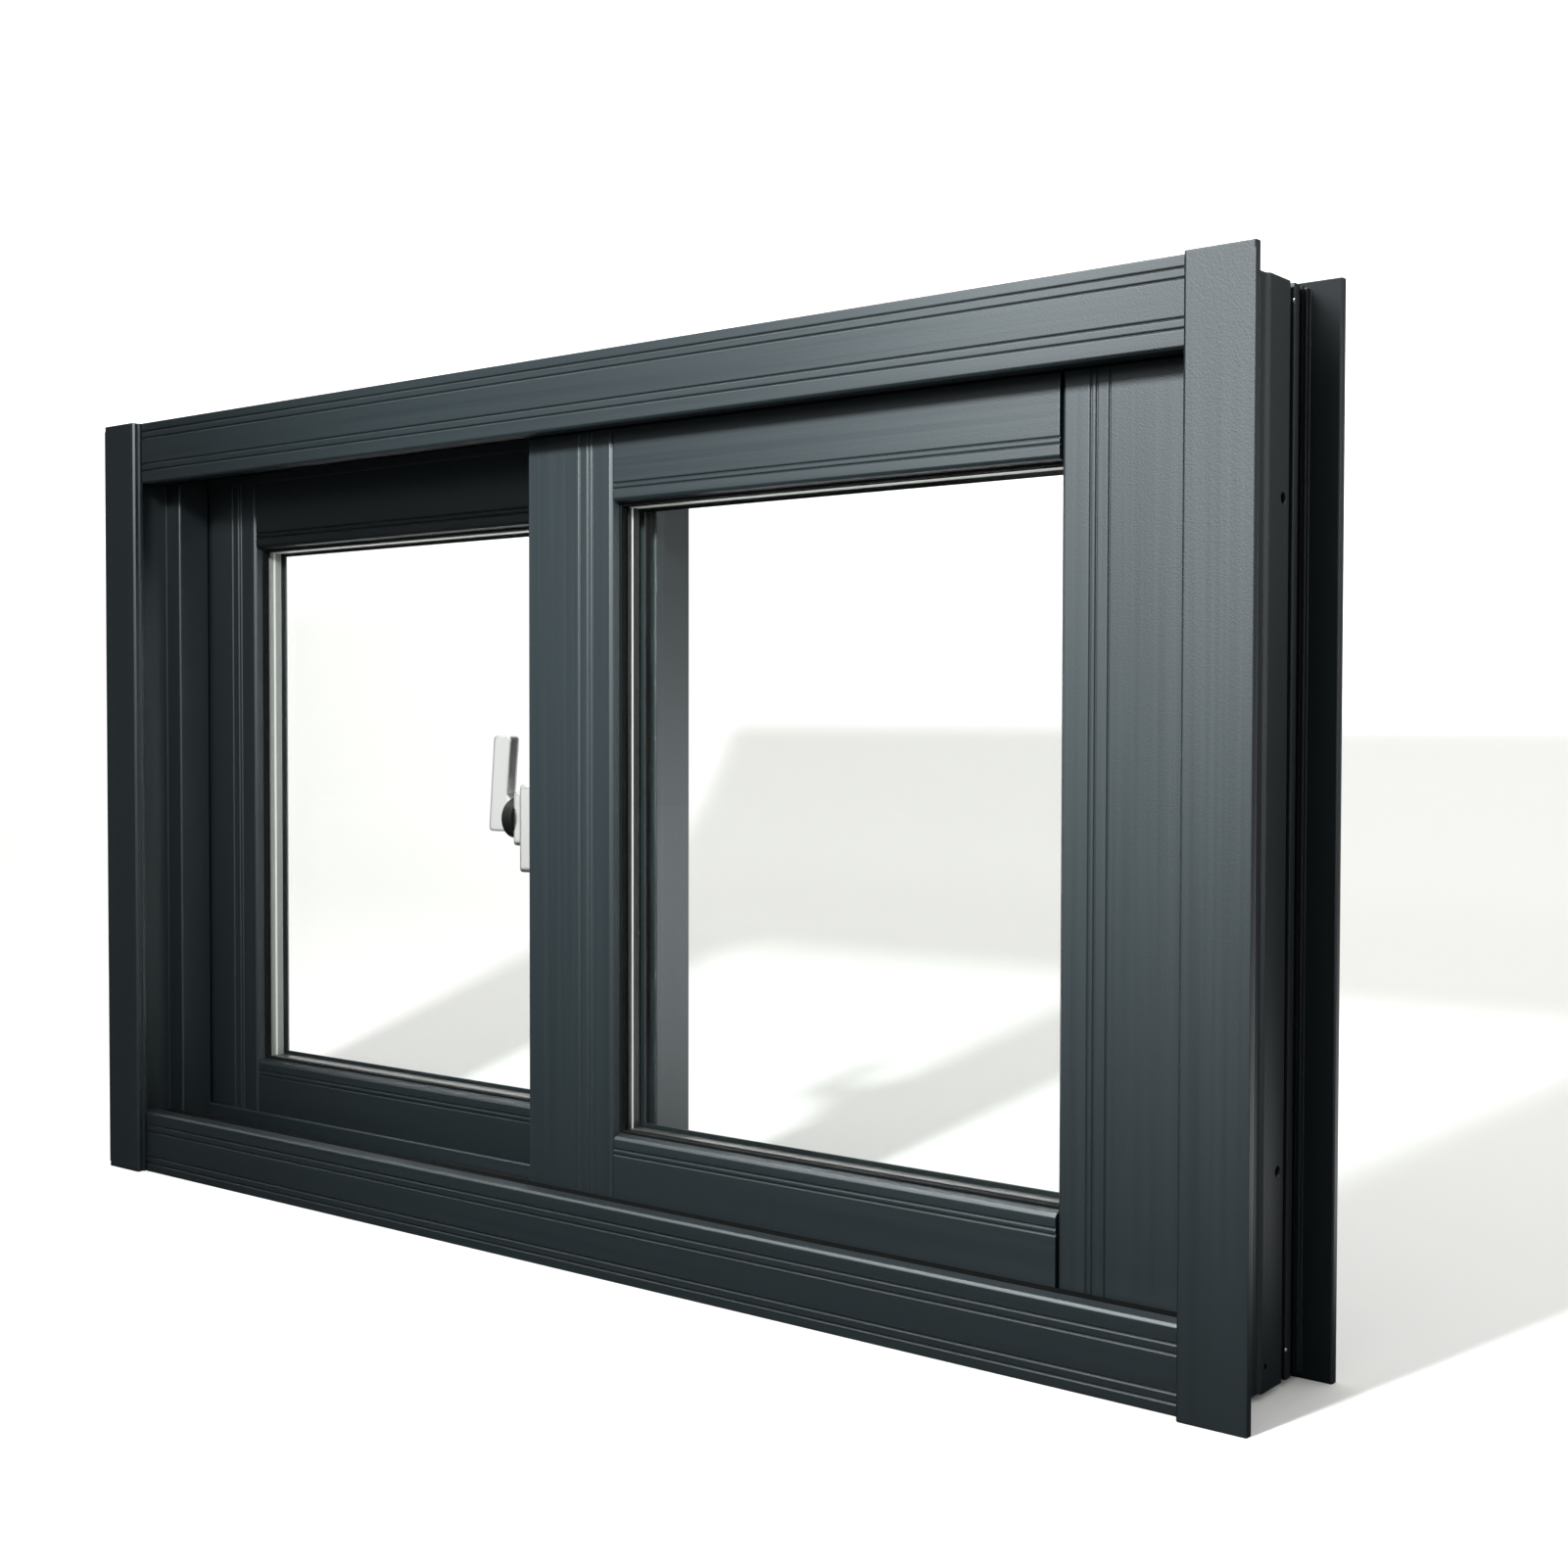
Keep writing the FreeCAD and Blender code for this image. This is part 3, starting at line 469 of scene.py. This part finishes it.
def make_world():
    """A pale room, which reflections see dark.

    They see a bright ceiling in it, panels in front and at the right, and a band high on the
    left that draws bright lines on the sills and beads.
    """
    world = bpy.data.worlds.new("studio")
    bpy.context.scene.world = world
    world.use_nodes = True
    world.cycles.sampling_method = "NONE"
    room = Tree(world.node_tree)
    aim = room.node("ShaderNodeTexCoord").outputs["Generated"]

    def towards(direction, start, full, strength=1.0):
        inputs = {0: aim, 1: Vector(direction).normalized()}
        cosine = room.node("ShaderNodeVectorMath", inputs, operation="DOT_PRODUCT")
        return room.rising(cosine.outputs["Value"], start, full, strength)

    front = room.maths("MULTIPLY", towards(*FRONT_PANEL), towards(*FRONT_RAISED))
    band = room.maths("MULTIPLY", towards(*BAND), towards(*BAND_RAISED))
    for end in BAND_ENDS:
        band = room.maths("MULTIPLY", band, room.maths("SUBTRACT", 1.0, towards(*end)))
    mirrored = room.maths("ADD", towards(*CEILING), ROOM_IN_GLOSS)
    for light in (towards(*RIGHT_PANEL), front, band):
        mirrored = room.maths("ADD", mirrored, light)
    sight = room.node("ShaderNodeLightPath").outputs["Is Camera Ray"]
    sight_more = room.maths("MULTIPLY", sight, ROOM_IN_SIGHT - ROOM_LIGHT)
    seen = room.maths("ADD", sight_more, ROOM_LIGHT)
    inputs = {"Factor": room.in_gloss(), "A": seen, "B": mirrored}
    level = room.node("ShaderNodeMix", inputs).outputs["Result"]
    back = room.tree.nodes["Background"]
    back.inputs["Color"].default_value = (1, 1, 1, 1)
    room.tree.links.new(level, back.inputs["Strength"])


# Lamps: place, aim, width and power

MIDDLE = (0, 0, 0.3)
FLOOR_LAMP = ((0.285, -1.254, 0.909), (0.2, 0.8, 0), 0.10, 14.0)
KEY_LAMP = ((0.25, -0.95, 1.02), MIDDLE, 0.20, 54.0)
FILL_LAMP = ((0.25, -0.95, 1.02), MIDDLE, 0.20, 26.0)
RIM_LAMP = ((2.3, 1.5, 0.9), MIDDLE, 0.9, 8.0)
HANDLE_LAMP = ((-0.95, -0.85, 0.42), (-0.05, 0, 0.3), 0.9, 2.8)
INNER_LAMP = ((0.95, 1.0, 0.15), MIDDLE, 0.5, 5.0)

# Soft flags in front of lamps. A flag is where it starts and ends by a beam's rise for each
# metre of depth, the same by the beam's drift to the right, and the share that it takes. Each
# start and end is a pair, from no shade to full shade, or back. ALWAYS and NEVER are outside
# every beam, so a flag that has them doesn't start or end there.

ALWAYS = (-9.1, -9.0)
NEVER = (9.0, 9.1)
FAR_FLAG = (((-0.30, -0.27), (-0.117, -0.105)), ((-0.665, -0.645), NEVER), 0.9)
POST_FLAG = (((-0.74, -0.68), (-0.30, -0.27)), ((-0.012, 0.012), (0.15, 0.17)), 1.0)
FOOT_FLAG = ((ALWAYS, (-1.20, -0.72)), (ALWAYS, NEVER), 0.8)
LEFT_FLAG = ((ALWAYS, NEVER), (ALWAYS, (-0.80, -0.36)), 0.78)
CORNER_FLAG = (((-0.75, -0.45), NEVER), ((0.05, 0.28), NEVER), 0.9)

OUTSIDE = ("_outer", "_stile", "_rail")
UNLIT_BY_KEY = SILVER + ("right_jamb_inner", "rear_top_rail")
LIT_FROM_ROOM = ("rear_right_stile", "rear_interlock")


def lamp(name, place, target, width, power, lit):
    """A round lamp that lights only the things given."""
    data = bpy.data.lights.new(name, "AREA")
    data.shape = "DISK"
    data.size = width
    data.energy = power
    made = add(name, data)
    made.location = place
    aim = Vector(target) - Vector(place)
    made.rotation_euler = aim.to_track_quat("-Z", "Y").to_euler()
    made.visible_camera = False
    made.visible_transmission = False
    receivers = bpy.data.collections.new(name + "_lights")
    for thing in lit:
        receivers.objects.link(thing)
    made.light_linking.receiver_collection = receivers
    return made


def even_and_flagged(made, flags):
    """Lets a lamp reach far without fading, and shades it behind flags."""
    made.data.use_nodes = True
    beam = Tree(made.data.node_tree)
    aim = beam.split(beam.node("ShaderNodeNewGeometry").outputs["Incoming"])
    drift = beam.maths("DIVIDE", aim["X"], aim["Y"])
    rise = beam.maths("DIVIDE", aim["Z"], aim["Y"])

    def between(value, edges):
        start, end = [beam.rising(value, low, high) for low, high in edges]
        return beam.maths("SUBTRACT", start, end)

    strength = beam.node("ShaderNodeLightFalloff", {"Strength": 1.0}).outputs["Constant"]
    for rises, drifts, share in flags:
        flag = beam.maths("MULTIPLY", between(rise, rises), between(drift, drifts))
        left = beam.maths("SUBTRACT", 1.0, beam.maths("MULTIPLY", flag, share))
        strength = beam.maths("MULTIPLY", strength, left)
    beam.tree.links.new(strength, beam.tree.nodes["Emission"].inputs["Strength"])


def make_lamps(sweep):
    body = [name for name in NODES if name not in SILVER]
    outside = [name for name in body if name.endswith(OUTSIDE) and "rear" not in name]
    before_key = [name for name in body if name not in UNLIT_BY_KEY]
    floor = lamp("floor_lamp", *FLOOR_LAMP, [sweep])
    key = lamp("key", *KEY_LAMP, [NODES[name] for name in before_key])
    fill = lamp("fill", *FILL_LAMP, [NODES[name] for name in outside])
    lamp("rim", *RIM_LAMP, [NODES[name] for name in body])
    lamp("handle_lamp", *HANDLE_LAMP, [NODES[name] for name in SILVER])
    lamp("inner_lamp", *INNER_LAMP, [NODES[name] for name in LIT_FROM_ROOM])
    even_and_flagged(floor, (FAR_FLAG, POST_FLAG))
    even_and_flagged(key, (FOOT_FLAG, LEFT_FLAG, CORNER_FLAG))
    even_and_flagged(fill, (FOOT_FLAG, LEFT_FLAG, CORNER_FLAG))


make_camera()
dress_nodes()
add_fittings()
add_corner_plates()
make_world()
make_lamps(make_sweep())
bpy.context.scene.view_settings.view_transform = "Standard"
